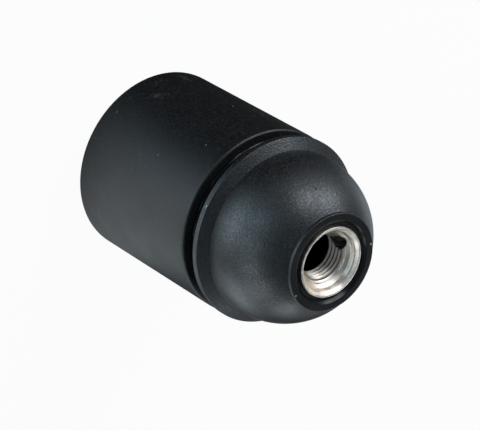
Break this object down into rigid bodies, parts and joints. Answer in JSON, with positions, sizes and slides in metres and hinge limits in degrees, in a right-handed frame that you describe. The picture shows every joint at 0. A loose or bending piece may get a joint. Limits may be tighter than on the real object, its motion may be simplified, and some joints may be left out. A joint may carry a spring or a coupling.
{
  "type": "lamp holder",
  "caption": "Black pendant lamp holder: smooth skirted shell with an Edison screw socket, domed cap with a threaded metal cable entry, terminal block and sprung contacts.",
  "frame": {"origin": "centre of the shell's open rim, on which the holder stands", "axes": "+Z along the axis from the open rim to the cable entry, +Y towards the live terminal"},
  "size_m": [0.04, 0.04, 0.0595],
  "materials": {
    "shell_plastic": "black moulded thermoset, satin",
    "cap_plastic": "black moulded thermoset, fine grain",
    "block_plastic": "dark moulded thermoset",
    "bush_metal": "turned, bright plated",
    "screw_steel": "plain zinc plated",
    "terminal_brass": "turned and sawn",
    "contact_bronze": "rolled sprung strip"
  },
  "bodies": {
    "shell": {"outer_shell": "shell_plastic"},
    "block": {"terminal_block": "block_plastic", "live_terminal": "terminal_brass", "neutral_terminal": "terminal_brass", "live_rivet": "terminal_brass", "neutral_rivet": "terminal_brass"},
    "cap": {"domed_cap": "cap_plastic", "entry_bush": "bush_metal"},
    "locking_screw": {"locking_screw": "screw_steel"},
    "live_screw": {"live_terminal_screw": "screw_steel"},
    "neutral_screw": {"neutral_terminal_screw": "screw_steel"},
    "centre_contact": {"centre_contact": "contact_bronze"},
    "side_contact": {"side_contact": "contact_bronze"}
  },
  "joints": [
    {"name": "shell_turn", "type": "hinge", "parent": "shell", "child": "block", "pos_m": [0, 0, 0.027], "axis": [0, 0, 1], "range_deg": [-446.4, 619.2]},
    {"name": "cap_rise", "type": "slide", "parent": "block", "child": "cap", "axis": [0, 0, 1], "range_m": [-0.00311, 0.00431]},
    {"name": "locking_screw_travel", "type": "slide", "parent": "cap", "child": "locking_screw", "axis": [-0.7849, 0.366, -0.5], "range_m": [-0.0016, 0.002]},
    {"name": "live_screw_travel", "type": "slide", "parent": "block", "child": "live_screw", "axis": [0, -1, 0], "range_m": [0, 0.0024]},
    {"name": "neutral_screw_travel", "type": "slide", "parent": "block", "child": "neutral_screw", "axis": [0, 1, 0], "range_m": [0, 0.0024]},
    {"name": "centre_contact_flex", "type": "hinge", "parent": "block", "child": "centre_contact", "pos_m": [0, 0.0088, 0.02477], "axis": [-1, 0, 0], "range_deg": [0, 7], "stiffness_Nm_per_rad": 0.07},
    {"name": "side_contact_flex", "type": "hinge", "parent": "block", "child": "side_contact", "pos_m": [0, -0.0088, 0.02477], "axis": [-1, 0, 0], "range_deg": [0, 8], "stiffness_Nm_per_rad": 0.05}
  ],
  "couplings": [
    {"joint": "cap_rise", "follows": "shell_turn", "m_per_rad": 0.00039789}
  ]
}
